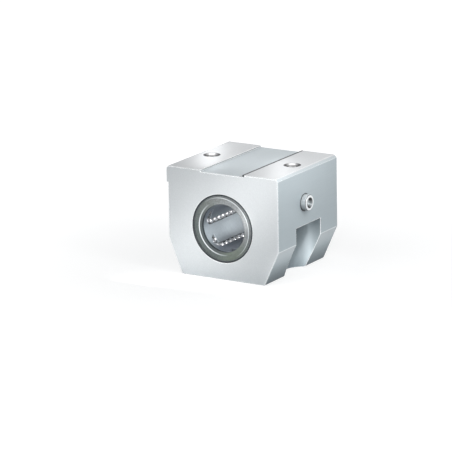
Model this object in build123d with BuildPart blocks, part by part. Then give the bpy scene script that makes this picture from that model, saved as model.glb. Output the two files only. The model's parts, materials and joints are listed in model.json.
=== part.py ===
# Linear bearing block: an aluminium housing that carries a compact linear ball bearing for a
# 20 mm shaft. Steel balls run round six closed circuits in a plastic cage, inside a hardened
# sleeve with a lip seal at each end. A funnel nipple in the side lets grease in.
#
# Frame, in millimetres: the origin is on the shaft axis at mid-length. +Y is along the shaft
# from front to rear, +X is across the block towards the nipple, and +Z is up to the pads.

import os
from math import atan2, cos, degrees, floor, hypot, pi, radians, sin, sqrt

from build123d import *

os.makedirs("parts", exist_ok=True)

# Shaft and balls
SHAFT_DIAMETER = 20.0
BALL_DIAMETER = 2.778
CIRCUITS = 6
TURN_GAP = 0.13
RACE_CLEARANCE = 0.012
RETURN_CLEARANCE = 0.06

# Faceted form of the balls: two poles and rings of corners, all on the true sphere
CIRCUIT_BALL_SIDES = 5
CIRCUIT_BALL_LATITUDES = (-26.57, 26.57)
CHECK_BALL_SIDES = 8
CHECK_BALL_LATITUDES = (-45, 0, 45)

# Sleeve
SLEEVE_WALL = 0.442
SLEEVE_RECESS = 0.3
LAND_OVERRUN = 0.3
GREASE_HOLE_DIAMETER = 1.5

# Cage
CAGE_BORE_GAP = 0.3
CAGE_RACE_GAP = 0.14
CHANNEL_CLEARANCE = 0.08
RETAINING_LIP_ANGLE = 40.0
RETAINING_LIP_CLEARANCE = 0.03
CAGE_END_WALL = 0.9
CAGE_END_PLAY = 0.05

# Seals
SEAL_THICKNESS = 1.4
SEAL_RECESS = 0.2
SEAL_SEAT_GAP = 0.02
SEAL_LIP_HEIGHT = 1.1
SEAL_LIP_SETBACK = 0.3

# Housing
BLOCK_LENGTH = 48.0
TOP_WALL = 9.6
BOTTOM_WALL = 7.4
BORE_CLEARANCE = 0.02
BORE_CHAMFER = 0.4
FACE_EDGE = 0.25
TOP_CHAMFER = 1.1
BOTTOM_CHAMFER_HEIGHT = 14.6
BOTTOM_CHAMFER_WIDTH = 6.8
BOTTOM_EDGE_RADIUS = 0.8
TOP_GROOVE_WIDTH = 19.8
TOP_GROOVE_DEPTH = 0.75
LOCATING_STRIP_HEIGHT = 7.0
LOCATING_STRIP_STEP = 0.8

# Fixing holes and the screw pockets under them
POCKET_RADIUS = 9.9
POCKET_WALL = 1.0
SCREW_HEAD_RADIUS = 4.25
HOLE_TO_SIDE = 7.25
THREAD_CORE_DIAMETER = 5.1
HOLE_SINK_DIAMETER = 6.6
HOLE_SINK_ANGLE = 90.0

# Grease nipple and its passages
NIPPLE_HEIGHT = 9.5
NIPPLE_OFFSET = -2.7
NIPPLE_HEAD_DIAMETER = 6.7
NIPPLE_HEAD_HEIGHT = 2.4
NIPPLE_HEAD_EDGE = 0.35
NIPPLE_SHANK_DIAMETER = 4.5
NIPPLE_SHANK_LENGTH = 3.3
NIPPLE_PRESS_GAP = 0.01
NIPPLE_FUNNEL_DIAMETER = 4.5
NIPPLE_FUNNEL_DEPTH = 1.5
NIPPLE_MOUTH_DIAMETER = 1.3
NIPPLE_CHAMBER_DIAMETER = 2.1
NIPPLE_OUTLET_DIAMETER = 1.0
NIPPLE_END_WALL = 0.5
CHECK_BALL_DIAMETER = 1.7
CHECK_BALL_SEAT_GAP = 0.02
SPRING_WIRE = 0.22
SPRING_COILS = 3
SPRING_SIDES = 8
SPRING_BORE_GAP = 0.12
SPRING_END_GAP = 0.03
SEAT_CHAMBER = 0.5
DUCT_DIAMETER = 1.4
DUCT_OFFSET = -1.45
DUCT_OVERRUN = 1.0

# Ball circuits: each lies in the plane that is tangent to the loaded row's centre line
ball_radius = BALL_DIAMETER / 2
shaft_radius = SHAFT_DIAMETER / 2
loaded_radius = shaft_radius + ball_radius
turn_radius = (BALL_DIAMETER + TURN_GAP) / sqrt(2)
ball_pitch = turn_radius * pi / 2
return_radius = hypot(loaded_radius, 2 * turn_radius)
return_turn = degrees(atan2(2 * turn_radius, loaded_radius))
circuit_turn = 360 / CIRCUITS

# Radii from the shaft outwards
cage_inner_radius = shaft_radius + CAGE_BORE_GAP
raceway_radius = loaded_radius + ball_radius + RACE_CLEARANCE
cage_outer_radius = raceway_radius - CAGE_RACE_GAP
end_bore_radius = return_radius + ball_radius + RETURN_CLEARANCE
sleeve_radius = end_bore_radius + SLEEVE_WALL
bore_radius = sleeve_radius + BORE_CLEARANCE

# Half-lengths from mid-length outwards
block_end = BLOCK_LENGTH / 2
sleeve_end = block_end - SLEEVE_RECESS
seal_end = sleeve_end - SEAL_RECESS
cage_end = seal_end - SEAL_THICKNESS - CAGE_END_PLAY
channel_reach = ball_radius + CHANNEL_CLEARANCE
straight_room = 2 * (cage_end - CAGE_END_WALL - turn_radius - channel_reach)
balls_per_row = floor(straight_room / ball_pitch)
straight_length = balls_per_row * ball_pitch
straight_end = straight_length / 2

# Housing outline
fixing_x = sleeve_radius + POCKET_WALL + SCREW_HEAD_RADIUS
side_x = fixing_x + HOLE_TO_SIDE
top_z = sleeve_radius + TOP_WALL
bottom_z = -sleeve_radius - BOTTOM_WALL
chamfer_z = bottom_z + BOTTOM_CHAMFER_HEIGHT
strip_z = top_z - LOCATING_STRIP_HEIGHT
groove_z = top_z - TOP_GROOVE_DEPTH
groove_x = TOP_GROOVE_WIDTH / 2
front_plane = Plane.XZ.offset(block_end)

# Nipple, measured inwards from the side face
nipple_radius = NIPPLE_SHANK_DIAMETER / 2
chamber_radius = NIPPLE_CHAMBER_DIAMETER / 2
mouth_radius = NIPPLE_MOUTH_DIAMETER / 2
check_radius = CHECK_BALL_DIAMETER / 2
nipple_plane = Plane(origin=(side_x, NIPPLE_OFFSET, NIPPLE_HEIGHT), x_dir=(0, 1, 0), z_dir=(1, 0, 0))
mouth_x = NIPPLE_HEAD_HEIGHT - NIPPLE_FUNNEL_DEPTH
check_x = mouth_x - CHECK_BALL_SEAT_GAP - sqrt(check_radius**2 - mouth_radius**2)
chamber_end_x = NIPPLE_END_WALL - NIPPLE_SHANK_LENGTH
spring_length = check_x - check_radius - chamber_end_x - 2 * (SPRING_END_GAP + SPRING_WIRE)
duct_y = NIPPLE_OFFSET + DUCT_OFFSET
duct_end_x = sqrt(bore_radius**2 - NIPPLE_HEIGHT**2) - DUCT_OVERRUN


def circuit_plane(index):
    """Plane of one circuit: x along the shaft, -y towards the return row, z outwards."""
    angle = radians(index * circuit_turn)
    outward = Vector(cos(angle), 0, sin(angle))
    return Plane(origin=outward * loaded_radius, x_dir=(0, 1, 0), z_dir=outward)


def ball_corners(radius, sides, latitudes):
    """Corners of a faceted ball, with each ring turned half a side from the one before."""
    corners = [(0, 0, radius), (0, 0, -radius)]
    for ring, latitude in enumerate(latitudes):
        ring_radius = radius * cos(radians(latitude))
        ring_height = radius * sin(radians(latitude))
        for side in range(sides):
            turn = pi * (2 * side + ring) / sides
            corners.append((ring_radius * cos(turn), ring_radius * sin(turn), ring_height))
    return corners


def row_places(y):
    """Places of the balls in a straight row, in the plane of the circuit."""
    first = -straight_end + ball_pitch / 2
    return [(first + number * ball_pitch, y) for number in range(balls_per_row)]


def turn_places(end):
    """Places of the two balls in a turn; end is 1 at the rear and -1 at the front."""
    places = []
    half_step = ball_pitch / turn_radius / 2
    for turn in (half_step, -half_step):
        x = end * (straight_end + turn_radius * cos(turn))
        places.append((x, turn_radius * (sin(turn) - 1)))
    return places


def save_balls(name, plane, places):
    """Write one group of balls as one node with a solid for each ball."""
    with BuildPart(plane) as balls:
        with Locations(*places):
            ConvexPolyhedron(ball_corners(ball_radius, CIRCUIT_BALL_SIDES, CIRCUIT_BALL_LATITUDES))
    balls.part.label = name
    export_step(balls.part, f"parts/{name}.step")


def racetrack(half_width):
    """Closed channel of one circuit round a straight bar, seen in its plane."""
    with BuildSketch() as track:
        with Locations((0, -turn_radius)):
            SlotCenterToCenter(straight_length, 2 * (turn_radius + half_width))
            Rectangle(straight_length, 2 * (turn_radius - half_width), mode=Mode.SUBTRACT)
    return track.sketch


# Housing: extruded outline with a shallow groove between the two top pads and a raised
# locating strip along the side away from the nipple
with BuildPart() as housing:
    with BuildSketch(front_plane):
        with BuildLine():
            Polyline(
                (-side_x, top_z - TOP_CHAMFER),
                (-side_x + TOP_CHAMFER, top_z),
                (-groove_x, top_z),
                (-groove_x, groove_z),
                (groove_x, groove_z),
                (groove_x, top_z),
                (side_x - TOP_CHAMFER, top_z),
                (side_x, top_z - TOP_CHAMFER),
                (side_x, chamfer_z),
                (side_x - BOTTOM_CHAMFER_WIDTH, bottom_z),
                (-side_x + BOTTOM_CHAMFER_WIDTH, bottom_z),
                (-side_x + LOCATING_STRIP_STEP, chamfer_z),
                (-side_x + LOCATING_STRIP_STEP, strip_z),
                (-side_x, strip_z),
                close=True,
            )
        make_face()
    extrude(amount=-BLOCK_LENGTH)
    long_edges = housing.edges().filter_by(Axis.Y)
    fillet(long_edges.group_by(Axis.Z)[0], BOTTOM_EDGE_RADIUS)
    end_faces = housing.faces().filter_by(Axis.Y)
    chamfer(end_faces.edges(), FACE_EDGE)

    # Bore for the bearing, chamfered at both mouths
    with BuildSketch(Plane.XY) as bore_profile:
        with BuildLine():
            Polyline(
                (0, -block_end),
                (bore_radius + BORE_CHAMFER, -block_end),
                (bore_radius, -block_end + BORE_CHAMFER),
                (bore_radius, block_end - BORE_CHAMFER),
                (bore_radius + BORE_CHAMFER, block_end),
                (0, block_end),
                close=True,
            )
        make_face()
    revolve(axis=Axis.Y, mode=Mode.SUBTRACT)

    # Screw pockets: open to the side and below, with their roof at shaft height
    pocket_x = fixing_x - SCREW_HEAD_RADIUS + POCKET_RADIUS
    with BuildSketch(Plane.XY.offset(bottom_z)):
        with Locations((pocket_x, 0), (-pocket_x, 0)):
            Circle(POCKET_RADIUS)
        with Locations((side_x, 0), (-side_x, 0)):
            Rectangle(2 * (side_x - pocket_x), 2 * POCKET_RADIUS)
    extrude(amount=-bottom_z, mode=Mode.SUBTRACT)

    # Fixing holes: thread core from the pad to the pocket, wide enough for a smaller screw from below
    with Locations(Plane.XY.offset(top_z)):
        with Locations((fixing_x, 0), (-fixing_x, 0)):
            CounterSinkHole(
                THREAD_CORE_DIAMETER / 2,
                HOLE_SINK_DIAMETER / 2,
                counter_sink_angle=HOLE_SINK_ANGLE,
            )

    # Nipple seat, and the grease duct that passes beside the fixing hole into the bore
    with BuildSketch(nipple_plane):
        Circle(nipple_radius + NIPPLE_PRESS_GAP)
    extrude(amount=-NIPPLE_SHANK_LENGTH - SEAT_CHAMBER, mode=Mode.SUBTRACT)
    with BuildSketch(nipple_plane):
        with Locations((DUCT_OFFSET, 0)):
            Circle(DUCT_DIAMETER / 2)
    extrude(amount=duct_end_x - side_x, mode=Mode.SUBTRACT)

housing.part.label = "housing"
export_step(housing.part, "parts/housing.step")

# Sleeve: hardened steel, with a raceway land between two wider end bores, a return groove
# for each circuit, and a hole that leads the grease from the duct into the circuits
with BuildPart() as bearing_sleeve:
    land_end = straight_end + LAND_OVERRUN
    with BuildSketch(Plane.XY):
        with BuildLine():
            Polyline(
                (end_bore_radius, -sleeve_end),
                (sleeve_radius, -sleeve_end),
                (sleeve_radius, sleeve_end),
                (end_bore_radius, sleeve_end),
                (end_bore_radius, land_end),
                (raceway_radius, land_end),
                (raceway_radius, -land_end),
                (end_bore_radius, -land_end),
                close=True,
            )
        make_face()
    revolve(axis=Axis.Y)
    with BuildSketch(Plane.XZ.offset(land_end)):
        with PolarLocations(return_radius, CIRCUITS, start_angle=-return_turn):
            Circle(ball_radius + RETURN_CLEARANCE)
    extrude(amount=-2 * land_end, mode=Mode.SUBTRACT)
    grease_turn = atan2(NIPPLE_HEIGHT, sqrt(sleeve_radius**2 - NIPPLE_HEIGHT**2))
    grease_outward = Vector(cos(grease_turn), 0, sin(grease_turn))
    with BuildSketch(Plane(origin=(0, duct_y, 0), x_dir=(0, 1, 0), z_dir=grease_outward)):
        Circle(GREASE_HOLE_DIAMETER / 2)
    extrude(amount=sleeve_radius + SLEEVE_WALL, mode=Mode.SUBTRACT)

bearing_sleeve.part.label = "bearing_sleeve"
export_step(bearing_sleeve.part, "parts/bearing_sleeve.step")

# Cage: a plastic tube with a racetrack channel for each circuit. The channel opens into the
# bore under the loaded row and the turns, where lips along both sides leave a slot that is
# narrower than a ball. Under the return row it has a round floor
with BuildPart() as ball_cage:
    with BuildSketch(Plane.XZ.offset(cage_end)):
        Circle(cage_outer_radius)
        Circle(cage_inner_radius, mode=Mode.SUBTRACT)
    extrude(amount=-2 * cage_end)
    lip_depth = ball_radius * sin(radians(RETAINING_LIP_ANGLE))
    slot_half_width = ball_radius * cos(radians(RETAINING_LIP_ANGLE)) + RETAINING_LIP_CLEARANCE
    slot_depth = loaded_radius - sqrt(cage_inner_radius**2 - (2 * turn_radius + slot_half_width) ** 2)
    for index in range(CIRCUITS):
        with BuildSketch(circuit_plane(index).offset(-lip_depth)):
            add(racetrack(channel_reach))
        extrude(amount=lip_depth + cage_outer_radius - loaded_radius, mode=Mode.SUBTRACT)
        with BuildSketch(circuit_plane(index).offset(-slot_depth)):
            add(racetrack(slot_half_width))
            with Locations((0, -2 * turn_radius)):
                Rectangle(straight_length, 2 * slot_half_width, mode=Mode.SUBTRACT)
        extrude(amount=slot_depth, mode=Mode.SUBTRACT)
    with BuildSketch(Plane.XZ.offset(straight_end)):
        with PolarLocations(return_radius, CIRCUITS, start_angle=-return_turn):
            Circle(channel_reach)
    extrude(amount=-straight_length, mode=Mode.SUBTRACT)

ball_cage.part.label = "ball_cage"
export_step(ball_cage.part, "parts/ball_cage.step")

# Balls: in each circuit the loaded row, the return row and the two turns are separate nodes,
# because each moves in its own way
for index in range(CIRCUITS):
    plane = circuit_plane(index)
    number = index + 1
    save_balls(f"loaded_balls_{number}", plane, row_places(0))
    save_balls(f"return_balls_{number}", plane, row_places(-2 * turn_radius))
    save_balls(f"front_turn_balls_{number}", plane, turn_places(-1))
    save_balls(f"rear_turn_balls_{number}", plane, turn_places(1))

# Seals: rings pressed into the sleeve's end bores, each with a lip that wipes the shaft
with BuildPart() as front_seal:
    ring_inner_radius = shaft_radius + SEAL_LIP_HEIGHT
    seal_back = -seal_end + SEAL_THICKNESS
    with BuildSketch(Plane.XY):
        with BuildLine():
            Polyline(
                (end_bore_radius - SEAL_SEAT_GAP, -seal_end),
                (end_bore_radius - SEAL_SEAT_GAP, seal_back),
                (shaft_radius, seal_back),
                (shaft_radius, -seal_end + SEAL_LIP_SETBACK),
                (ring_inner_radius, -seal_end),
                close=True,
            )
        make_face()
    revolve(axis=Axis.Y)

with BuildPart() as rear_seal:
    add(mirror(front_seal.part, about=Plane.XZ, mode=Mode.PRIVATE))

front_seal.part.label = "front_seal"
export_step(front_seal.part, "parts/front_seal.step")
rear_seal.part.label = "rear_seal"
export_step(rear_seal.part, "parts/rear_seal.step")

# Nipple body: a turned drive-in sleeve with a funnel mouth, a ball seat and a spring chamber
with BuildPart() as nipple_body:
    head_radius = NIPPLE_HEAD_DIAMETER / 2
    with BuildSketch(Plane.XZ):
        with BuildLine():
            Polyline(
                (mouth_x, mouth_radius),
                (NIPPLE_HEAD_HEIGHT, NIPPLE_FUNNEL_DIAMETER / 2),
                (NIPPLE_HEAD_HEIGHT, head_radius - NIPPLE_HEAD_EDGE),
                (NIPPLE_HEAD_HEIGHT - NIPPLE_HEAD_EDGE, head_radius),
                (0, head_radius),
                (0, nipple_radius),
                (-NIPPLE_SHANK_LENGTH, nipple_radius),
                (-NIPPLE_SHANK_LENGTH, NIPPLE_OUTLET_DIAMETER / 2),
                (chamber_end_x, NIPPLE_OUTLET_DIAMETER / 2),
                (chamber_end_x, chamber_radius),
                (mouth_x - chamber_radius + mouth_radius, chamber_radius),
                close=True,
            )
        make_face()
    revolve(axis=Axis.X)

# Check ball, closed against the underside of the funnel
with BuildPart() as nipple_ball:
    with Locations((check_x, 0, 0)):
        ConvexPolyhedron(ball_corners(check_radius, CHECK_BALL_SIDES, CHECK_BALL_LATITUDES))

# Spring behind the check ball: flat-sided wire on a coil of straight steps
with BuildPart() as nipple_spring:
    coil_radius = chamber_radius - SPRING_BORE_GAP - SPRING_WIRE / 2
    spring_start = chamber_end_x + SPRING_END_GAP + SPRING_WIRE
    coil_points = []
    for step in range(SPRING_COILS * SPRING_SIDES + 1):
        turn = 2 * pi * step / SPRING_SIDES
        along = spring_start + spring_length * step / (SPRING_COILS * SPRING_SIDES)
        coil_points.append((along, coil_radius * cos(turn), coil_radius * sin(turn)))
    with BuildLine() as coil:
        Polyline(*coil_points)
    with BuildSketch(Plane(origin=coil.line @ 0, z_dir=coil.line % 0)):
        Rectangle(SPRING_WIRE, SPRING_WIRE)
    sweep(transition=Transition.RIGHT)

# The nipple's pieces are modelled on the X axis and set into the side face
nipple_place = Pos(side_x, NIPPLE_OFFSET, NIPPLE_HEIGHT)
for name, piece in (
    ("nipple_body", nipple_body.part),
    ("nipple_ball", nipple_ball.part),
    ("nipple_spring", nipple_spring.part),
):
    placed = nipple_place * piece
    placed.label = name
    export_step(placed, f"parts/{name}.step")

print("bearing diameter", round(2 * sleeve_radius, 3), "balls per row", balls_per_row)
print("ball pitch", round(ball_pitch, 4), "turn radius", round(turn_radius, 4))
print("block", round(2 * side_x, 3), BLOCK_LENGTH, round(top_z - bottom_z, 3))
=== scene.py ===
"""Looks of the linear bearing block: materials, true balls, a copy of the spring, studio and camera.

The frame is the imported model's: metres, origin on the shaft axis at mid-length, +Y along the
shaft from front to rear, +X towards the nipple and +Z up to the pads.
"""

import json
from math import atan2, cos, radians, sin
from types import SimpleNamespace

import bmesh
import bpy
from mathutils import Matrix, Vector


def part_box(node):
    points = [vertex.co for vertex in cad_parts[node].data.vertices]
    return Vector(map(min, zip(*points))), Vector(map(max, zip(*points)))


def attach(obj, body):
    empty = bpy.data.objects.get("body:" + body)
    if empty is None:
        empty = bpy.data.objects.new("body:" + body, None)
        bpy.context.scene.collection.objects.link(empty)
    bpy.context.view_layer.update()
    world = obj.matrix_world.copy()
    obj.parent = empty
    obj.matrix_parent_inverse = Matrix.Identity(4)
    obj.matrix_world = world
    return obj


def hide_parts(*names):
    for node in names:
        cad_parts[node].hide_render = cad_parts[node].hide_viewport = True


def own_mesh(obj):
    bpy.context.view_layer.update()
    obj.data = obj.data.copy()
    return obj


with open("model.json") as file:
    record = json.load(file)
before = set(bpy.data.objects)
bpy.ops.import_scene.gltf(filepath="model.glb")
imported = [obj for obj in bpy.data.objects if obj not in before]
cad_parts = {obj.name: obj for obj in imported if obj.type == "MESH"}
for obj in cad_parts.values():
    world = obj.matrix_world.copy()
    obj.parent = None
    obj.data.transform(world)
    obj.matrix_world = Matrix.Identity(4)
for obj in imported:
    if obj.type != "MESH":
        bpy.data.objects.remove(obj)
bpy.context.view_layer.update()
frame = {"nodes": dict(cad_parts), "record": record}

MM = 0.001

# Camera: turned from the front of the block to the right, and looking down on it
CAMERA_AIM = (-8.86 * MM, -6.74 * MM, -4.0 * MM)
CAMERA_DISTANCE = 1246.3 * MM
CAMERA_AZIMUTH = 31.84
CAMERA_ELEVATION = 15.03
CAMERA_ROLL = -1.07
CAMERA_LENS = 240.87
CAMERA_SENSOR = 36.0

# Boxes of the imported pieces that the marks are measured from
housing_low, housing_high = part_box("housing")
nipple_low, nipple_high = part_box("nipple_body")
nipple_centre = tuple((nipple_low + nipple_high) / 2)

# How far each finish and each painted mark of the block reaches in from its outer faces
END_SKIN = 0.15 * MM
SIDE_SKIN = 0.1 * MM
PAD_SKIN = 0.3 * MM
PAD_STEP_SKIN = 0.7 * MM
GROOVE_SKIN = 1.0 * MM

# Slopes of the block's lower sides, and the screw pockets that cut into them, with the half width of the
# highlight line painted at the slopes' top and the height above which shade is painted deep in the
# pockets
SLOPE_TOP = -6.8 * MM
SLOPE_HIGHLIGHT_HALF = 0.2 * MM
POCKET_CENTRE_X = 24.9 * MM
POCKET_RADIUS = 9.9 * MM
POCKET_SKIN = 0.1 * MM
POCKET_ROOF = -0.1 * MM
POCKET_SHADE_Z = -10.5 * MM

# Painted shadow line at the step up to the right pad, and painted shade in front of it
PAD_SHADOW_LINE_X = (9.86 * MM, 10.8 * MM)
GROOVE_SHADE_X = 8.5 * MM

# Fixing holes, measured from their own axes, out to the painted shadow ring round each rim, with the
# threads that are painted and bumped on their walls
FIXING_HOLE_X = 19.25 * MM
HOLE_SINK_RADII = (2.57 * MM, 3.28 * MM)
HOLE_RIM_RADIUS = 3.6 * MM
THREAD_PITCH = 1.0 * MM
THREAD_START = 0.72 * MM
THREAD_END_Z = 0.1 * MM

# Rings of the bore, the sleeve and the seals, measured from the shaft axis, that bound painted shadow,
# shade and highlights
BORE_RIM_RADIUS = 14.3 * MM
SLEEVE_RIM_RADIUS = 13.66 * MM
SLEEVE_TRACK_RADIUS = 13.59 * MM
SEAL_RING_RADII = (12.74 * MM, 13.1 * MM)
SEAL_RING_CENTRE = (-0.7 * MM, 0, -0.2 * MM)
LIP_LINE_RADII = (11.02 * MM, 11.5 * MM)
LIP_SLOPE_RADIUS = 10.9 * MM
LIP_EDGE_RADIUS = 10.12 * MM

# Rings of the nipple, measured from its own axis, and how deep its face reaches; the funnel, the rim and
# the foot rings bound painted shade and painted shadow
FUNNEL_RADII = (1.25 * MM, 2.22 * MM)
NIPPLE_RIM_RADIUS = 3.14 * MM
NIPPLE_FOOT_RADIUS = 3.72 * MM
NIPPLE_FACE_SKIN = 0.38 * MM
NIPPLE_RIM_SKIN = 0.33 * MM

# Directions across the shaft, in degrees from +X towards +Z, towards which painted light and shade on the
# seals and the cage are turned, and where the seal is olive
SEAL_PALE_SIDE = 35.0
SEAL_OLIVE_SIDE = -65.0
LIP_LINE_SIDE = 202.0
CAGE_PALE_SIDE = 203.0

# Directions in which painted light makes the wall of a fixing hole, the nipple's head and its funnel
# palest
HOLE_PALE_WAY = (-0.53, 0.85, 0.0)
NIPPLE_PALE_WAY = (0.0, -0.5, 0.87)
FUNNEL_PALE_WAY = (0.0, 0.87, -0.5)

# Factors that drop what lies along an axis and keep what lies across it
ACROSS_SHAFT = (1, 0, 1)
ACROSS_NIPPLE = (0, 1, 1)
ACROSS_HOLE = (1, 1, 0)

# Tones that several marks share: edge wear and painted highlights, painted shade, and painted shadow
EDGE_WEAR_AND_HIGHLIGHT = (0.97, 0.98, 0.985, 1)
PAINTED_SHADE = (0.03, 0.05, 0.06, 1)
PAINTED_SHADOW_DARK = (0.03, 0.035, 0.04, 1)

# Width over which a mark's edge fades, where a spare stop of a ramp starts, and samples of a shade
SOFT_EDGE = 0.05 * MM
MIDDLE = 0.5
BEVEL_SAMPLES = 8
SHADE_SAMPLES = 12

# Times that a ball's faces are divided, how close corners are one, and how far the ball is pressed
BALL_SMOOTHNESS = 4
WELD_DISTANCE = 0.001 * MM

# Studio: floor size, how its white fades out under the block, and the world's soft light
FLOOR_HALF_WIDTH = 4.0
FLOOR_FADE = (0.05, 0.16)
FLOOR_WHITE = (0.76, 1.0)
WORLD_STRENGTH = 0.17

# Where the beams into the bore and into the right pocket come from, and how soft they are
BORE_BEAM = {"azimuth": 31, "elevation": 15, "distance": 150, "softness": 2}
POCKET_BEAM = {"azimuth": 15, "elevation": 4, "distance": 110, "softness": 9}

# Directions along which the strip lights lie or shine
FACE_DIAGONAL = (0.754, 0, 0.656)
PAD_DIAGONAL = (-0.49, 0.87, 0)
REARWARDS = (0, 1, 0)
RIGHTWARDS = (1, 0, 0)
DOWNWARDS = (0, 0, -1)


def new_material(name):
    """An empty node material; returns the material and its node tree."""
    material = bpy.data.materials.new(name)
    material.use_nodes = True
    material.node_tree.nodes.clear()
    return material, material.node_tree


def node(tree, kind, inputs=None, **settings):
    """Add one shader node. An input is a value, or the output that it is linked to."""
    made = tree.nodes.new(kind)
    for name, value in settings.items():
        setattr(made, name, value)
    for name, value in (inputs or {}).items():
        if isinstance(value, bpy.types.NodeSocket):
            tree.links.new(value, made.inputs[name])
        else:
            made.inputs[name].default_value = value
    return made


def maths(tree, operation, *values):
    """One maths node on one to three values; returns its output."""
    return node(tree, "ShaderNodeMath", dict(enumerate(values)), operation=operation).outputs[0]


def scaled(tree, value, gain, base):
    """A value times a gain, plus a base."""
    return maths(tree, "MULTIPLY_ADD", value, gain, base)


def vector_maths(tree, operation, *vectors):
    """One vector maths node; returns its vector, or the value of a length or a dot product."""
    made = node(tree, "ShaderNodeVectorMath", dict(enumerate(vectors)), operation=operation)
    return made.outputs["Value" if operation in ("LENGTH", "DOT_PRODUCT") else "Vector"]


def ramp(tree, value, stops):
    """A colour ramp with (position, grey or colour) stops; returns its colour output."""
    made = node(tree, "ShaderNodeValToRGB", {"Fac": value})
    elements = made.color_ramp.elements
    while len(elements) < len(stops):
        elements.new(MIDDLE)
    for element, (position, colour) in zip(elements, stops):
        element.position = position
        element.color = (colour, colour, colour, 1) if isinstance(colour, (int, float)) else (*colour, 1)
    return made.outputs["Color"]


def blend(tree, factor, first, second, blend_type="MIX"):
    """Mix two colours; returns the colour output."""
    inputs = {0: factor, 6: first, 7: second}
    return node(tree, "ShaderNodeMix", inputs, data_type="RGBA", blend_type=blend_type).outputs[2]


def darkened(tree, colour, shade):
    """A colour multiplied by a shade."""
    return blend(tree, 1.0, colour, shade, "MULTIPLY")


def climb(tree, value, start, end, low=0.0, high=1.0):
    """Goes from low to high as a value goes from start to end, and stays level outside."""
    inputs = {"Value": value, "From Min": start, "From Max": end, "To Min": low, "To Max": high}
    return node(tree, "ShaderNodeMapRange", inputs, clamp=True).outputs[0]


def above(tree, value, threshold, soft=SOFT_EDGE):
    """1 where a value lies above a threshold, with a soft edge."""
    return climb(tree, value, threshold - soft, threshold + soft)


def inverse(tree, mask):
    """1 where a mask is 0."""
    return maths(tree, "SUBTRACT", 1.0, mask)


def below(tree, value, threshold, soft=SOFT_EDGE):
    """1 where a value lies below a threshold, with a soft edge."""
    return inverse(tree, above(tree, value, threshold, soft))


def band(tree, value, low, high, soft=SOFT_EDGE):
    """1 where a value lies between two thresholds, with soft edges."""
    return maths(tree, "SUBTRACT", above(tree, value, low, soft), above(tree, value, high, soft))


def both(tree, first, second):
    """1 where both masks are 1."""
    return maths(tree, "MULTIPLY", first, second)


def either(tree, first, *others):
    """The strongest of some masks."""
    for other in others:
        first = maths(tree, "MAXIMUM", first, other)
    return first


def faded(tree, mask, strength):
    """A mask at part of its strength."""
    return maths(tree, "MULTIPLY", mask, strength)


def place(tree):
    """The point being shaded, in the object's frame, in metres."""
    return node(tree, "ShaderNodeTexCoord").outputs["Object"]


def noise(tree, vector, scale, detail=3.0, roughness=0.5, stretch=(1, 1, 1)):
    """Noise over a place, with features of about 1/scale metres; returns its value."""
    stretched = node(tree, "ShaderNodeMapping", {"Vector": vector, "Scale": stretch}).outputs[0]
    inputs = {"Vector": stretched, "Scale": scale, "Detail": detail, "Roughness": roughness}
    return node(tree, "ShaderNodeTexNoise", inputs).outputs[0]


def bump(tree, height, strength, distance, normal):
    """A normal that follows a height."""
    inputs = {"Height": height, "Strength": strength, "Distance": distance, "Normal": normal}
    return node(tree, "ShaderNodeBump", inputs).outputs[0]


def rounded_normal(tree, radius):
    """A normal that rounds sharp edges."""
    return node(tree, "ShaderNodeBevel", {"Radius": radius}, samples=BEVEL_SAMPLES).outputs[0]


def edge_mask(tree, rounded, strength):
    """1 along the edges where a rounded normal turns away, and 0 on flat stretches."""
    true_normal = node(tree, "ShaderNodeNewGeometry").outputs["Normal"]
    turned_away = inverse(tree, vector_maths(tree, "DOT_PRODUCT", rounded, true_normal))
    return maths(tree, "MINIMUM", faded(tree, turned_away, strength), 1.0)


def open_to_light(tree, reach):
    """1 where a surface is open within this reach, and less in corners and pockets."""
    inputs = {"Distance": reach}
    return node(tree, "ShaderNodeAmbientOcclusion", inputs, samples=SHADE_SAMPLES).outputs["AO"]


def from_axis(tree, where, centre, across):
    """Vector from a line through the centre; across is 0 along the line and 1 on the other axes."""
    away = vector_maths(tree, "SUBTRACT", where, centre)
    return vector_maths(tree, "MULTIPLY", away, across)


def length(tree, vector):
    """Length of a vector."""
    return vector_maths(tree, "LENGTH", vector)


def round_shaft(angle):
    """Direction across the shaft, 0 degrees being +X and 90 +Z."""
    return (cos(radians(angle)), 0.0, sin(radians(angle)))


def turned_to(tree, vector, way):
    """From 0 to 1: how far a vector points this way, one half being square to it."""
    along = vector_maths(tree, "DOT_PRODUCT", vector_maths(tree, "NORMALIZE", vector), way)
    return scaled(tree, along, gain=0.5, base=0.5)


def finish_material(tree, **inputs):
    """Close a material with a principled shader that has these inputs."""
    named = {name.replace("_", " "): value for name, value in inputs.items()}
    shader = node(tree, "ShaderNodeBsdfPrincipled", named)
    node(tree, "ShaderNodeOutputMaterial", {"Surface": shader.outputs[0]})


def block_surfaces(tree, where):
    """Masks of the block's surfaces, and the coordinates that they are made from."""
    x, y, z = node(tree, "ShaderNodeSeparateXYZ", {"Vector": where}).outputs
    ends = above(tree, maths(tree, "ABSOLUTE", y), housing_high.y - END_SKIN)
    pads = above(tree, z, housing_high.z - PAD_SKIN)
    groove = above(tree, z, housing_high.z - GROOVE_SKIN)
    mirrored = vector_maths(tree, "ABSOLUTE", where)
    from_pocket = from_axis(tree, mirrored, (POCKET_CENTRE_X, 0, 0), ACROSS_HOLE)
    near_pocket = below(tree, length(tree, from_pocket), POCKET_RADIUS + POCKET_SKIN)
    pocket = both(tree, near_pocket, below(tree, z, POCKET_ROOF))
    pocket_way = vector_maths(tree, "NORMALIZE", from_pocket)
    pocket_end = node(tree, "ShaderNodeSeparateXYZ", {"Vector": pocket_way}).outputs["Y"]
    return SimpleNamespace(
        x=x,
        y=y,
        z=z,
        pads=pads,
        milled=either(tree, ends, pads),
        groove=faded(tree, groove, strength=0.26),
        pocket=pocket,
        pocket_end=pocket_end,
        outer_sides=inverse(tree, either(tree, ends, pocket)),
    )


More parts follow.
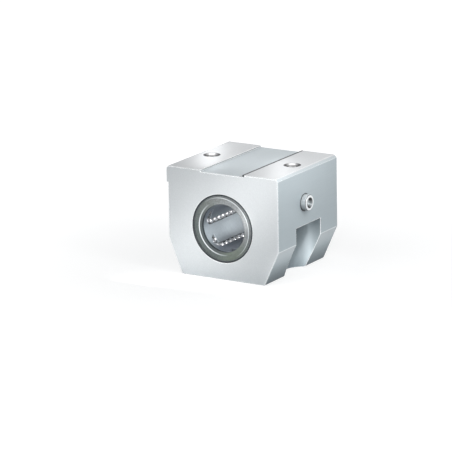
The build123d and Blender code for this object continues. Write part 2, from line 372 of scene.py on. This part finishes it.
def block_metal(tree, where, surfaces, grain):
    """Bare metal: drawn sides with lines along the block, and paler milled ends and pads."""
    cloud = noise(tree, where, scale=55, detail=2.0)
    draw_lines = noise(tree, where, scale=2600, roughness=0.6, stretch=(1, 0.03, 1))
    drawn = blend(tree, draw_lines, (0.44, 0.50, 0.53, 1), (0.51, 0.565, 0.59, 1))
    milled = blend(tree, cloud, (0.68, 0.70, 0.71, 1), (0.73, 0.745, 0.755, 1))
    pads = blend(tree, cloud, (0.60, 0.61, 0.62, 1), (0.64, 0.65, 0.66, 1))
    colour = blend(tree, either(tree, surfaces.milled, surfaces.groove), drawn, milled)
    colour = blend(tree, surfaces.pads, colour, pads)
    return darkened(tree, colour, ramp(tree, grain, ((0.35, 0.92), (0.65, 1.0))))


def shade_block(tree, surfaces, colour):
    """Painted shade in corners and pockets, slopes painted darker downwards and paler at their top with a
    painted highlight line, and painted shade deep in the pockets.
    """
    z, pocket, pocket_end = surfaces.z, surfaces.pocket, surfaces.pocket_end
    # Painted shade: corners and hollows darkened by how open they are, less on the milled faces and at
    # the pale end of the pockets
    openness = open_to_light(tree, reach=16 * MM)
    deep_shade = ramp(tree, openness, ((0.12, (0.10, 0.15, 0.18)), (0.78, 1.0)))
    light_shade = ramp(tree, openness, ((0.12, (0.66, 0.69, 0.71)), (0.75, 1.0)))
    pale_end = faded(tree, both(tree, pocket, above(tree, pocket_end, 0.80, soft=0.16)), strength=0.7)
    shade = blend(tree, either(tree, surfaces.milled, pale_end), deep_shade, light_shade)
    colour = darkened(tree, colour, shade)

    # Painted shade towards the foot of the slopes, and painted highlights at their top
    down_slope = climb(tree, z, SLOPE_TOP, housing_low.z)
    slope_shade = both(tree, ramp(tree, down_slope, ((0.45, 0.0), (1.0, 0.50))), surfaces.outer_sides)
    head_stops = ((0.0, 0.0), (0.03, 0.5), (0.5, 0.0))
    slope_top_highlight = both(tree, ramp(tree, down_slope, head_stops), surfaces.outer_sides)
    line_ends = (SLOPE_TOP - SLOPE_HIGHLIGHT_HALF, SLOPE_TOP + SLOPE_HIGHLIGHT_HALF)
    slope_highlight_line = both(tree, band(tree, z, *line_ends, soft=0.1 * MM), surfaces.outer_sides)
    colour = blend(tree, slope_shade, colour, PAINTED_SHADE)
    colour = blend(tree, slope_top_highlight, colour, (0.68, 0.70, 0.71, 1))
    colour = blend(tree, faded(tree, slope_highlight_line, strength=0.6), colour, EDGE_WEAR_AND_HIGHLIGHT)

    # Painted shade on the deep middle of the pockets
    pocket_middle = below(tree, pocket_end, 0.80, soft=0.2)
    deep = both(tree, pocket_middle, above(tree, z, POCKET_SHADE_Z, soft=6.5 * MM))
    return blend(tree, faded(tree, both(tree, pocket, deep), strength=0.78), colour, PAINTED_SHADE)


def mark_block(tree, where, surfaces, hole, colour):
    """Painted shadow lines round the bearing, the nipple and the holes, and at the right pad's step, with
    painted shade on the groove floor in front of the step.
    """
    x, z = surfaces.x, surfaces.z
    # Painted shadow ring at the bore's edge, round the bearing
    bore_rim = below(tree, length(tree, from_axis(tree, where, (0, 0, 0), ACROSS_SHAFT)), BORE_RIM_RADIUS)
    pad_shadow_line = both(tree, band(tree, x, *PAD_SHADOW_LINE_X), above(tree, z, housing_high.z - PAD_STEP_SKIN))
    # Painted contact shadow round the nipple's foot
    from_nipple = length(tree, from_axis(tree, where, nipple_centre, ACROSS_NIPPLE))
    near_nipple = below(tree, from_nipple, NIPPLE_FOOT_RADIUS)
    nipple_foot = both(tree, above(tree, x, housing_high.x - SIDE_SKIN), near_nipple)
    # Painted shadow ring round the rim of each countersink
    rim_radii = (HOLE_SINK_RADII[1], HOLE_RIM_RADIUS)
    hole_rim = both(tree, band(tree, hole, *rim_radii, soft=0.04 * MM), surfaces.pads)
    # Painted shade on the groove floor in front of the pad's step
    corner = both(tree, band(tree, x, GROOVE_SHADE_X, PAD_SHADOW_LINE_X[0], soft=0.7 * MM), surfaces.groove)
    colour = blend(tree, corner, colour, (0.10, 0.11, 0.12, 1))
    return blend(tree, either(tree, bore_rim, pad_shadow_line, nipple_foot, hole_rim), colour, PAINTED_SHADOW_DARK)


def thread_holes(tree, surfaces, hole, hole_side, colour):
    """Countersinks and threads of the fixing holes, with painted shade at their ends, a painted highlight
    on their far side, and threads painted as pale crests and dark roots; returns the colour and the
    thread's height.
    """
    z = surfaces.z
    sink_radii = band(tree, hole, *HOLE_SINK_RADII, soft=0.03 * MM)
    sink = both(tree, sink_radii, above(tree, z, housing_high.z - GROOVE_SKIN))
    # Painted shade at the countersink's ends and a painted highlight on its far side
    sink_stops = ((0.62, 0.004), (0.80, 0.15), (0.92, 0.36), (0.985, 0.80))
    colour = blend(tree, sink, colour, ramp(tree, hole_side, sink_stops))

    in_hole = below(tree, hole, HOLE_SINK_RADII[0], soft=0.02 * MM)
    threaded = both(tree, in_hole, above(tree, z, THREAD_END_Z))
    below_sink = maths(tree, "SUBTRACT", z, housing_high.z - THREAD_START)
    # Painted light and shade on the thread: pale crests and dark roots
    turns = maths(tree, "PINGPONG", below_sink, THREAD_PITCH / 2)
    crests = above(tree, turns, THREAD_PITCH / 4, soft=THREAD_PITCH / 5)
    crest_tone = ramp(tree, hole_side, ((0.60, 0.01), (0.85, 0.12), (0.97, 0.75)))
    thread_tone = blend(tree, crests, (0.02, 0.02, 0.02, 1), crest_tone)
    return blend(tree, threaded, colour, thread_tone), both(tree, turns, threaded)


def aluminium_block():
    """Anodised aluminium: drawn sides, paler milled ends and pads, and edges painted bright, partly as
    wear and partly as painted highlights.
    """
    material, tree = new_material("aluminium_block")
    where = place(tree)
    surfaces = block_surfaces(tree, where)
    rounded = rounded_normal(tree, radius=0.40 * MM)
    edges = edge_mask(tree, rounded, strength=18.0)
    grain = noise(tree, where, scale=2600, detail=5.0, roughness=0.7)

    hole_x = scaled(tree, maths(tree, "SIGN", surfaces.x), gain=-FIXING_HOLE_X, base=surfaces.x)
    from_hole = node(tree, "ShaderNodeCombineXYZ", {"X": hole_x, "Y": surfaces.y}).outputs[0]
    hole = length(tree, from_hole)
    hole_side = turned_to(tree, from_hole, HOLE_PALE_WAY)

    colour = block_metal(tree, where, surfaces, grain)
    colour = shade_block(tree, surfaces, colour)
    # Edges painted near white: partly worn metal, partly a painted highlight
    colour = blend(tree, edges, colour, EDGE_WEAR_AND_HIGHLIGHT)
    colour = mark_block(tree, where, surfaces, hole, colour)
    colour, thread = thread_holes(tree, surfaces, hole, hole_side, colour)

    cut_thread = bump(tree, thread, strength=0.6, distance=1.0, normal=rounded)
    normal = bump(tree, grain, strength=0.10, distance=0.02 * MM, normal=cut_thread)
    roughness = scaled(tree, edges, gain=-0.2, base=scaled(tree, grain, gain=0.12, base=0.40))
    metallic = scaled(tree, edges, gain=0.65, base=0.25)
    finish_material(tree, Base_Color=colour, Metallic=metallic, Roughness=roughness, Normal=normal)
    return material


def bearing_steel():
    """Ground steel: fine marks round the shaft axis, with a painted shadow on its outer edge and painted
    shade on its ball track.
    """
    material, tree = new_material("bearing_steel")
    where = place(tree)
    marks = noise(tree, where, scale=900, roughness=0.6, stretch=(1, 8, 1))
    radius = length(tree, from_axis(tree, where, (0, 0, 0), ACROSS_SHAFT))
    colour = blend(tree, marks, (0.22, 0.235, 0.24, 1), (0.30, 0.31, 0.32, 1))
    # Painted shadow on the sleeve's outer edge, and painted shade on its ball track
    colour = blend(tree, above(tree, radius, SLEEVE_RIM_RADIUS), colour, (0.05, 0.06, 0.065, 1))
    track = below(tree, radius, SLEEVE_TRACK_RADIUS, soft=0.02 * MM)
    colour = blend(tree, track, colour, PAINTED_SHADOW_DARK)
    rounded = rounded_normal(tree, radius=0.1 * MM)
    normal = bump(tree, marks, strength=0.12, distance=0.01 * MM, normal=rounded)
    finish_material(tree, Base_Color=colour, Metallic=0.5, Roughness=0.35, Normal=normal)
    return material


def cage_plastic():
    """Moulded plastic, smooth on the bore and slightly mottled, with painted light on one side of the
    bore, painted shade in its hollows and painted highlights on its edges.
    """
    material, tree = new_material("cage_plastic")
    where = place(tree)
    mottle = noise(tree, where, scale=800, detail=4.0, roughness=0.7)
    grain = noise(tree, where, scale=4200, roughness=0.6)
    rounded = rounded_normal(tree, radius=0.12 * MM)
    edges = edge_mask(tree, rounded, strength=5.0)
    colour = blend(tree, mottle, (0.42, 0.48, 0.52, 1), (0.62, 0.68, 0.72, 1))
    outwards = from_axis(tree, where, (0, 0, 0), ACROSS_SHAFT)
    # Painted light: the bore paler towards one side and darker away from it
    side = turned_to(tree, outwards, round_shaft(CAGE_PALE_SIDE))
    side_stops = ((0.5, (0.44, 0.43, 0.47)), (0.86, (0.48, 0.48, 0.52)), (0.95, 0.70), (0.995, 1.0))
    colour = darkened(tree, colour, ramp(tree, side, side_stops))
    # Painted shade in the slots and hollows
    openness = open_to_light(tree, reach=2.5 * MM)
    colour = darkened(tree, colour, ramp(tree, openness, ((0.12, 0.10), (0.62, 1.0))))
    # Painted highlight along the edges
    colour = blend(tree, edges, colour, (0.70, 0.74, 0.78, 1))
    normal = bump(tree, grain, strength=0.08, distance=0.01 * MM, normal=rounded)
    finish_material(tree, Base_Color=colour, Roughness=0.36, Normal=normal)
    return material


def seal_face(tree, where, outwards, grain):
    """Grainy grey, with painted light making it paler on one side, and olive below; returns the colour
    and the side that painted light falls on.
    """
    patches = noise(tree, where, scale=260, detail=2.0)
    # Painted light: paler towards one side
    painted_light_side = turned_to(tree, outwards, round_shaft(SEAL_PALE_SIDE))
    shade = scaled(tree, maths(tree, "SUBTRACT", patches, 0.5), gain=0.35, base=painted_light_side)
    greys = ((0.1, (0.105, 0.125, 0.12)), (0.45, (0.175, 0.19, 0.18)), (0.95, (0.27, 0.28, 0.285)))
    colour = darkened(tree, ramp(tree, shade, greys), ramp(tree, grain, ((0.3, 0.66), (0.7, 1.2))))
    olive_side = turned_to(tree, outwards, round_shaft(SEAL_OLIVE_SIDE))
    olive = faded(tree, above(tree, olive_side, 0.93, soft=0.06), strength=0.6)
    return blend(tree, olive, colour, (0.155, 0.19, 0.145, 1)), painted_light_side


def seal_rubber():
    """Grey seal, finely grained, with painted highlights as a pale ring near its outer edge and a pale
    line round its lip, and painted shade on its lip and outside the ring.
    """
    material, tree = new_material("seal_rubber")
    where = place(tree)
    grain = noise(tree, where, scale=1500, detail=4.0, roughness=0.65)
    outwards = from_axis(tree, where, (0, 0, 0), ACROSS_SHAFT)
    radius = length(tree, outwards)
    colour, painted_light_side = seal_face(tree, where, outwards, grain)

    # Painted highlight: an off-centre pale ring on the lit side, with painted shadow just outside it
    ring_radius = length(tree, from_axis(tree, where, SEAL_RING_CENTRE, ACROSS_SHAFT))
    ring_side = above(tree, painted_light_side, 0.62, soft=0.18)
    ring = both(tree, band(tree, ring_radius, *SEAL_RING_RADII), ring_side)
    ring_edge = both(tree, above(tree, ring_radius, SEAL_RING_RADII[1]), ring_side)

    # Painted highlight round the lip on one side, and painted shade on the lip's slope and edge
    lip_side = above(tree, turned_to(tree, outwards, round_shaft(LIP_LINE_SIDE)), 0.74, soft=0.16)
    lip_line = both(tree, band(tree, radius, *LIP_LINE_RADII, soft=0.08 * MM), lip_side)
    lip_slope = both(tree, below(tree, radius, LIP_SLOPE_RADIUS, soft=0.08 * MM), lip_side)
    lip_edge = below(tree, radius, LIP_EDGE_RADIUS, soft=0.08 * MM)

    lip_dark = either(tree, lip_edge, faded(tree, lip_slope, strength=0.72))
    dark = either(tree, lip_dark, faded(tree, ring_edge, strength=0.45))
    colour = blend(tree, dark, colour, (0.045, 0.055, 0.06, 1))
    pale = either(tree, faded(tree, ring, strength=0.75), lip_line)
    colour = blend(tree, pale, colour, (0.74, 0.77, 0.78, 1))

    rounded = rounded_normal(tree, radius=0.16 * MM)
    normal = bump(tree, grain, strength=0.2, distance=0.02 * MM, normal=rounded)
    finish_material(tree, Base_Color=colour, Roughness=0.48, Normal=normal)
    return material


def nipple_metal():
    """Turned and plated steel with fine turning marks, painted light and shade round its head, a bright
    face, a painted shadow round its rim and painted shade in its funnel.
    """
    material, tree = new_material("nipple_metal")
    where = place(tree)
    marks = noise(tree, where, scale=1400, roughness=0.6, stretch=(6, 1, 1))
    x = node(tree, "ShaderNodeSeparateXYZ", {"Vector": where}).outputs["X"]
    from_nipple = from_axis(tree, where, nipple_centre, ACROSS_NIPPLE)
    radius = length(tree, from_nipple)

    colour = blend(tree, marks, (0.68, 0.71, 0.72, 1), (0.84, 0.86, 0.87, 1))
    # Painted light: the head paler on its upper front and darker below
    side = turned_to(tree, from_nipple, NIPPLE_PALE_WAY)
    colour = darkened(tree, colour, ramp(tree, side, ((0.14, 0.04), (0.42, 0.45), (0.78, 1.0))))

    at_face = above(tree, x, nipple_high.x - NIPPLE_FACE_SKIN, soft=0.03 * MM)
    face = both(tree, at_face, above(tree, radius, FUNNEL_RADII[1]))
    # Painted shadow round the rim of the face
    at_rim = above(tree, x, nipple_high.x - NIPPLE_RIM_SKIN)
    rim = both(tree, above(tree, radius, NIPPLE_RIM_RADIUS, soft=0.04 * MM), at_rim)
    colour = blend(tree, face, colour, (0.88, 0.90, 0.91, 1))
    colour = blend(tree, rim, colour, (0.06, 0.07, 0.08, 1))

    # Painted shade in the funnel, paler towards one side
    funnel_side = turned_to(tree, from_nipple, FUNNEL_PALE_WAY)
    funnel_tone = ramp(tree, funnel_side, ((0.45, 0.01), (0.75, 0.04), (0.97, (0.22, 0.24, 0.25))))
    colour = blend(tree, below(tree, radius, FUNNEL_RADII[1]), colour, funnel_tone)
    colour = blend(tree, below(tree, radius, FUNNEL_RADII[0]), colour, (0.34, 0.37, 0.38, 1))

    rounded = rounded_normal(tree, radius=0.14 * MM)
    normal = bump(tree, marks, strength=0.15, distance=0.01 * MM, normal=rounded)
    finish_material(tree, Base_Color=colour, Metallic=0.45, Roughness=0.32, Normal=normal)
    return material


def spring_steel():
    """Drawn wire."""
    material, tree = new_material("spring_steel")
    marks = noise(tree, place(tree), scale=2600, detail=2.0)
    colour = blend(tree, marks, (0.40, 0.41, 0.43, 1), (0.55, 0.56, 0.58, 1))
    finish_material(tree, Base_Color=colour, Metallic=1.0, Roughness=0.3)
    return material


def ball_steel():
    """Polished steel with a faint film of grease."""
    material, tree = new_material("ball_steel")
    film = noise(tree, place(tree), scale=700, detail=2.0)
    colour = blend(tree, film, (0.90, 0.92, 0.94, 1), (0.98, 0.98, 0.99, 1))
    roughness = scaled(tree, film, gain=0.12, base=0.16)
    finish_material(tree, Base_Color=colour, Metallic=0.7, Roughness=roughness)
    return material


def ball_centres(name):
    """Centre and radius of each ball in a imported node, from the corners of its solids."""
    packed = bmesh.new()
    packed.from_mesh(frame["nodes"][name].data)
    bmesh.ops.remove_doubles(packed, verts=packed.verts, dist=WELD_DISTANCE)
    reached = set()
    found = []
    for first in packed.verts:
        if first in reached:
            continue
        reached.add(first)
        group = [first]
        for corner in group:
            for edge in corner.link_edges:
                other = edge.other_vert(corner)
                if other not in reached:
                    reached.add(other)
                    group.append(other)
        centre = sum((corner.co for corner in group), Vector()) / len(group)
        found.append((centre, (group[0].co - centre).length))
    packed.free()
    return found


def new_object(name, data):
    """An object with this data, in the scene."""
    made = bpy.data.objects.new(name, data)
    bpy.context.collection.objects.link(made)
    return made


def stand_in(piece, name):
    """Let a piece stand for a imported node, on the body that carries it."""
    bodies = frame["record"]["behaviour"]["bodies"]
    body = next(body for body, nodes in bodies.items() if name in nodes)
    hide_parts(name)
    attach(piece, body)


def smooth_balls(name, slot):
    """True spheres in place of a node's faceted ones."""
    mesh = bpy.data.meshes.new(name + "_smooth")
    spheres = bmesh.new()
    for centre, radius in ball_centres(name):
        middle = Matrix.Translation(centre)
        bmesh.ops.create_icosphere(spheres, subdivisions=BALL_SMOOTHNESS, radius=radius, matrix=middle)
    for face in spheres.faces:
        face.smooth = True
    spheres.to_mesh(mesh)
    spheres.free()
    mesh.materials.append(materials[slot])
    stand_in(new_object(name + "_smooth", mesh), name)


def closing_spring():
    """The spring behind the check ball, as a copy of its imported node on the body that carries it."""
    mesh = frame["nodes"]["nipple_spring"].data.copy()
    spring = new_object("nipple_spring_coil", mesh)
    stand_in(spring, "nipple_spring")
    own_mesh(spring)


def seen_rays(tree):
    """1 for the rays by which the camera sees a surface, straight, mirrored or through glass."""
    path = node(tree, "ShaderNodeLightPath").outputs
    return either(tree, path["Is Camera Ray"], path["Is Glossy Ray"], path["Is Transmission Ray"])


def studio_floor():
    """Pale floor that is white to the camera and keeps the block's shadow."""
    mesh = bpy.data.meshes.new("studio_floor")
    half, level = FLOOR_HALF_WIDTH, housing_low.z
    corners = [(-half, -half, level), (half, -half, level), (half, half, level), (-half, half, level)]
    mesh.from_pydata(corners, [], [(0, 1, 2, 3)])
    floor = new_object("studio_floor", mesh)
    material, tree = new_material("studio_floor")
    seen = seen_rays(tree)
    grain = noise(tree, place(tree), scale=40, detail=2.0)
    paint = blend(tree, grain, (0.72, 0.78, 0.80, 1), (0.74, 0.80, 0.82, 1))
    matt = node(tree, "ShaderNodeBsdfDiffuse", {"Color": paint}).outputs[0]
    shaded = node(tree, "ShaderNodeBsdfDiffuse", {"Color": (0.35, 0.35, 0.35, 1)}).outputs[0]
    far = climb(tree, length(tree, place(tree)), *FLOOR_FADE, *FLOOR_WHITE)
    white = node(tree, "ShaderNodeEmission", {"Strength": far}).outputs[0]
    lifted = node(tree, "ShaderNodeAddShader", {0: shaded, 1: white}).outputs[0]
    mixed = node(tree, "ShaderNodeMixShader", {0: seen, 1: matt, 2: lifted}).outputs[0]
    node(tree, "ShaderNodeOutputMaterial", {"Surface": mixed})
    mesh.materials.append(material)


def studio_world():
    """White to the camera and in reflections, and a plain soft light for the rest."""
    world = bpy.data.worlds.new("studio")
    bpy.context.scene.world = world
    world.use_nodes = True
    tree = world.node_tree
    tree.nodes.clear()
    seen = seen_rays(tree)
    sky = {"Color": (0.84, 0.93, 1, 1), "Strength": WORLD_STRENGTH}
    soft = node(tree, "ShaderNodeBackground", sky).outputs[0]
    white = node(tree, "ShaderNodeBackground", {"Color": (1, 1, 1, 1), "Strength": 1.0}).outputs[0]
    mixed = node(tree, "ShaderNodeMixShader", {0: seen, 1: soft, 2: white}).outputs[0]
    node(tree, "ShaderNodeOutputWorld", {"Surface": mixed})


def way_back(azimuth, elevation):
    """Direction from the block to a viewer, with azimuths and elevations as they are told for views."""
    turn, rise = radians(azimuth), radians(elevation)
    return Vector((sin(turn) * cos(rise), -cos(turn) * cos(rise), sin(rise)))


def rectangle_light(name, width, height, power):
    """A rectangular light, still to be placed."""
    data = bpy.data.lights.new(name, "AREA")
    data.shape = "RECTANGLE"
    data.size, data.size_y = width, height
    data.energy = power
    return new_object(name, data)


def area_light(name, azimuth, elevation, distance, width, height, power):
    """A soft light that faces the block from this direction, in metres."""
    light = rectangle_light(name, width, height, power)
    back = way_back(azimuth, elevation)
    light.location = back * distance
    light.rotation_euler = back.to_track_quat("Z", "Y").to_euler()


def strip_light(name, middle, along, facing, size, power):
    """A strip close to the block, in millimetres, that lays a soft band on it without a reflection."""
    light = rectangle_light(name, size[0] * MM, size[1] * MM, power)
    away = -Vector(facing).normalized()
    along = Vector(along).normalized()
    light.location = Vector(middle) * MM
    light.rotation_euler = Matrix((along, away.cross(along), away)).transposed().to_euler()
    light.visible_glossy = False
    light.visible_camera = False


def snoot_light(name, aim, azimuth, elevation, distance, reach, softness, power):
    """A narrow soft-edged beam, in millimetres; reach is the radius that it lights at its aim."""
    data = bpy.data.lights.new(name, "SPOT")
    data.energy = power
    data.spot_size = 2 * atan2(reach, distance)
    data.spot_blend = 1.0
    data.shadow_soft_size = softness * MM
    light = new_object(name, data)
    back = way_back(azimuth, elevation)
    light.location = (Vector(aim) + back * distance) * MM
    light.rotation_euler = back.to_track_quat("Z", "Y").to_euler()
    light.visible_camera = False


def studio_lights():
    """Key, top and side lights, soft bands on the front, the pads and the right side, and beams."""
    area_light("key", azimuth=-25, elevation=47, distance=0.9, width=0.5, height=0.5, power=1.8)
    area_light("top", azimuth=10, elevation=88, distance=0.9, width=0.6, height=0.6, power=0.3)
    area_light("side", azimuth=78, elevation=28, distance=0.9, width=0.25, height=0.25, power=1.42)
    strip_light("front_band", (-8, -46, -2), FACE_DIAGONAL, REARWARDS, (120, 12), power=0.0130)
    strip_light("front_corner_band", (-26, -46, -14), FACE_DIAGONAL, REARWARDS, (30, 12), power=0.0007)
    strip_light("left_pad_band", (-20, 0, 31), PAD_DIAGONAL, DOWNWARDS, (42, 4), power=0.0025)
    strip_light("right_pad_band", (18.5, -7.5, 31), PAD_DIAGONAL, DOWNWARDS, (38, 4), power=0.00145)
    strip_light("groove_band", (-1, -2, 31), PAD_DIAGONAL, DOWNWARDS, (26, 4), power=0.0003)
    strip_light("side_glow", (58, -14, 46), REARWARDS, (-1, 0, -0.5), (70, 20), power=0.020)
    strip_light("rear_glow", (-4, 32, 50), RIGHTWARDS, (0, -0.4, -0.9), (80, 20), power=0.006)
    snoot_light("bore_beam_front", aim=(-9, -14, -4), reach=7.5, power=0.8, **BORE_BEAM)
    snoot_light("bore_beam_top", aim=(-6, -14, 5), reach=4.5, power=0.45, **BORE_BEAM)
    snoot_light("bore_beam_rear", aim=(-9, 3, -5), reach=8, power=0.95, **BORE_BEAM)
    snoot_light("pocket_beam", aim=(28, 9.9, -20), reach=16, power=0.60, **POCKET_BEAM)


def photograph_camera():
    """Camera at the photograph's viewing angle."""
    data = bpy.data.cameras.new("camera")
    data.lens = CAMERA_LENS
    data.sensor_width = CAMERA_SENSOR
    camera = new_object("camera", data)
    back = way_back(CAMERA_AZIMUTH, CAMERA_ELEVATION)
    camera.location = Vector(CAMERA_AIM) + back * CAMERA_DISTANCE
    level = back.to_track_quat("Z", "Y").to_matrix()
    rolled = level @ Matrix.Rotation(radians(CAMERA_ROLL), 3, "Z")
    camera.rotation_euler = rolled.to_euler()
    bpy.context.scene.camera = camera


materials = {
    "aluminium_block": aluminium_block(),
    "bearing_steel": bearing_steel(),
    "cage_plastic": cage_plastic(),
    "seal_rubber": seal_rubber(),
    "nipple_metal": nipple_metal(),
    "spring_steel": spring_steel(),
    "ball_steel": ball_steel(),
}

for subpart in frame["record"]["subparts"]:
    name, slot = subpart["node"], subpart["material_slot"]
    packed = frame["nodes"][name]
    packed.data.materials.clear()
    packed.data.materials.append(materials[slot])
    if slot == "ball_steel":
        smooth_balls(name, slot)

closing_spring()
studio_floor()
studio_world()
studio_lights()
photograph_camera()

bpy.context.scene.view_settings.view_transform = "Standard"
